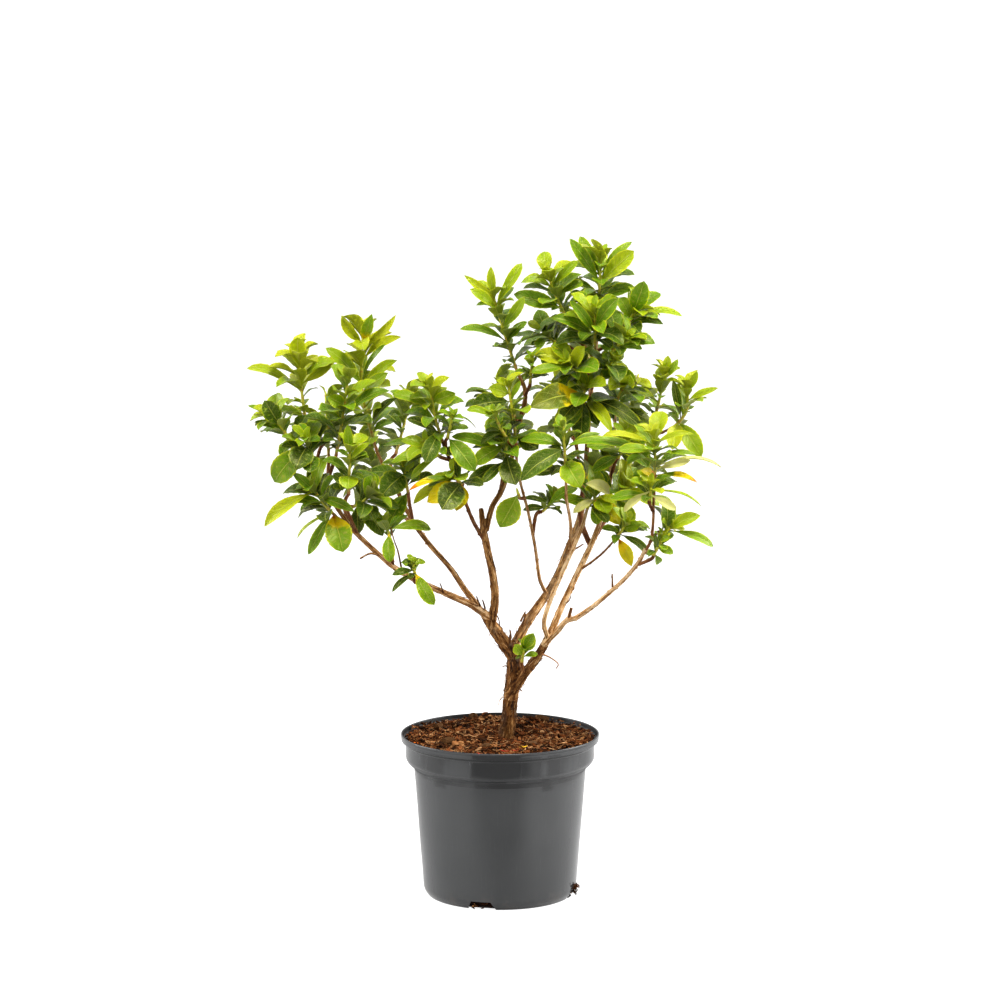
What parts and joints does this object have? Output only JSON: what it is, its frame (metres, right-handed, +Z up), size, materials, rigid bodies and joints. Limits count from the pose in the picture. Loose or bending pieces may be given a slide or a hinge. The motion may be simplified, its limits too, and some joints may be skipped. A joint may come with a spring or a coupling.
{
  "type": "potted escallonia",
  "caption": "Young evergreen shrub with an open branching crown of glossy leaves, standing in bark compost in a round tapered nursery pot.",
  "frame": {"origin": "centre of the pot's underside, on the surface it stands on", "axes": "+Z up, -Y towards the side the shrub is seen from, +X to that viewer's right"},
  "size_m": [0.4446, 0.2415, 0.6307],
  "materials": {
    "pot plastic": "satin dark grey",
    "bark compost": "rough, moist, red-brown",
    "brown bark": "rough, slightly peeling",
    "leaf": "glossy green"
  },
  "bodies": {
    "root": {"compost": "bark compost", "pot": "pot plastic", "shoot_back_centre": "leaf", "shoot_back_low_right": "leaf", "shoot_back_mid": "leaf", "shoot_back_right": "leaf", "shoot_back_top": "leaf", "shoot_basal_sprout": "leaf", "shoot_centre_bright": "leaf", "shoot_centre_right": "leaf", "shoot_centre_shade": "leaf", "shoot_centre_side": "leaf", "shoot_centre_skirt": "leaf", "shoot_centre_twig": "leaf", "shoot_dark_heart": "leaf", "shoot_front_yellow": "leaf", "shoot_hanging_twig": "leaf", "shoot_inner_droop": "leaf", "shoot_inner_left": "leaf", "shoot_left_back": "leaf", "shoot_left_back_low": "leaf", "shoot_left_broad": "leaf", "shoot_left_crown": "leaf", "shoot_left_front": "leaf", "shoot_left_heart": "leaf", "shoot_left_inner_low": "leaf", "shoot_left_low": "leaf", "shoot_left_mid_back": "leaf", "shoot_left_outer": "leaf", "shoot_left_shade": "leaf", "shoot_left_tall": "leaf", "shoot_left_under": "leaf", "shoot_lone_leaf": "leaf", "shoot_low_sprout": "leaf", "shoot_mid_crown": "leaf", "shoot_mid_low": "leaf", "shoot_mid_side": "leaf", "shoot_mid_skirt": "leaf", "shoot_red_stem_low": "leaf", "shoot_red_stem_top": "leaf", "shoot_right_crown": "leaf", "shoot_right_depth": "leaf", "shoot_right_fork": "leaf", "shoot_right_gap": "leaf", "shoot_right_inner": "leaf", "shoot_right_low": "leaf", "shoot_right_mid": "leaf", "shoot_right_side": "leaf", "shoot_right_tip": "leaf", "shoot_right_twig": "leaf", "shoot_shoulder": "leaf", "shoot_top": "leaf", "shoot_top_front": "leaf", "shoot_upper_left": "leaf", "shoot_upper_left_low": "leaf", "shoot_upper_mid": "leaf", "shoot_upper_right": "leaf", "trunk_and_branches": "brown bark"}
  },
  "joints": []
}
